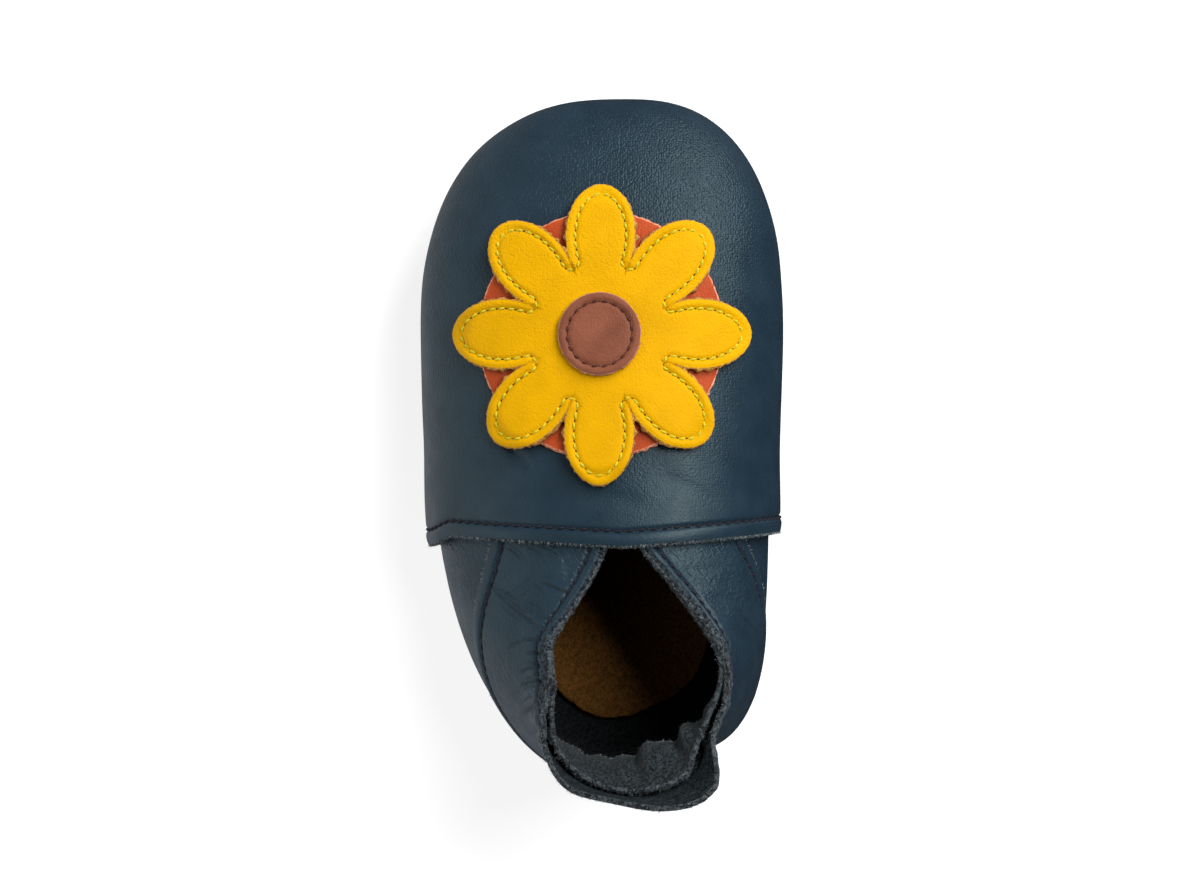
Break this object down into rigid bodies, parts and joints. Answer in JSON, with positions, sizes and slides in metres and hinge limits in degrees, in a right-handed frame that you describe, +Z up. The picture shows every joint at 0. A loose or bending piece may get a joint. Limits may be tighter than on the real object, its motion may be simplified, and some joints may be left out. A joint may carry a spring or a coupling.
{
  "type": "soft-soled baby shoe",
  "caption": "Soft-soled baby slipper for the left foot: navy leather upper with an elasticated collar and heel tab, suede sole, and a leather flower sewn on the vamp.",
  "frame": {"origin": "on the floor under the middle of the shoe's bounding box", "axes": "+Z up, +Y towards the toe, +X towards the inner side of the left foot"},
  "size_m": [0.0729, 0.1395, 0.0608],
  "materials": {
    "navy_leather": "satin grain",
    "blue_suede": "suede",
    "tan_leather": "matte",
    "taupe_suede": "suede",
    "orange_leather": "matte",
    "yellow_leather": "satin",
    "brown_leather": "matte"
  },
  "bodies": {
    "root": {"upper": "navy_leather", "collar_casing": "blue_suede", "insole": "tan_leather", "outsole": "taupe_suede", "applique_disc": "orange_leather", "applique_petals": "yellow_leather", "applique_centre": "brown_leather"}
  },
  "joints": []
}
